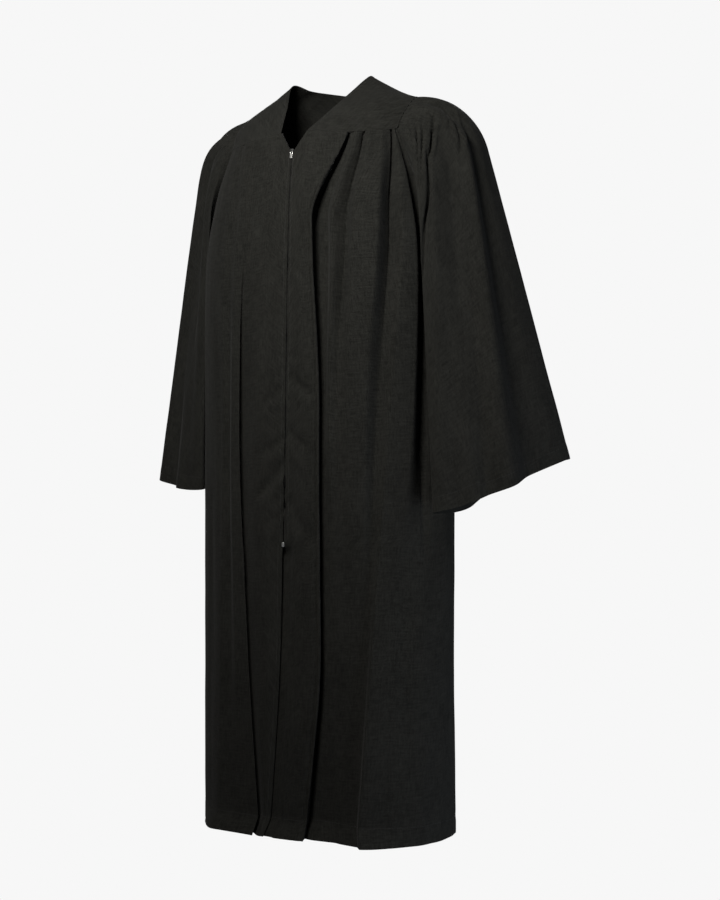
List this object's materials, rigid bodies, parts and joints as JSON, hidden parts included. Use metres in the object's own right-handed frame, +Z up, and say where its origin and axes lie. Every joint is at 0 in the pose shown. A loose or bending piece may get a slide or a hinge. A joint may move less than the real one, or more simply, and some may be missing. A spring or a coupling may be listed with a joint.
{
  "type": "graduation gown",
  "caption": "Long black academic gown with a shoulder yoke, pleated fronts, bell sleeves and a front zip, open at neck, hem and cuffs, hollow as it is worn.",
  "frame": {"origin": "middle of the neck, level with the high points of the shoulders, where a wearer's shoulders carry the gown", "axes": "+Z up, -Y out of the front, +X to the wearer's left"},
  "size_m": [0.8011, 0.3473, 1.34],
  "materials": {
    "gown_cloth": "matte",
    "zip_tape": "matte",
    "dark_metal": "satin",
    "silver_metal": "satin"
  },
  "bodies": {
    "gown": {"yoke": "gown_cloth", "front_left": "gown_cloth", "front_right": "gown_cloth", "back": "gown_cloth", "sleeve_left": "gown_cloth", "sleeve_right": "gown_cloth", "zip_tape_left": "zip_tape", "zip_tape_right": "zip_tape", "zip_slider": "dark_metal", "zip_bottom_stop": "silver_metal"},
    "pull": {"zip_pull": "silver_metal"}
  },
  "joints": [
    {"name": "pull_hinge", "type": "hinge", "parent": "gown", "child": "pull", "pos_m": [0.00001, -0.12662, -0.1483], "axis": [-1, 0, 0], "range_deg": [0, 165]}
  ]
}
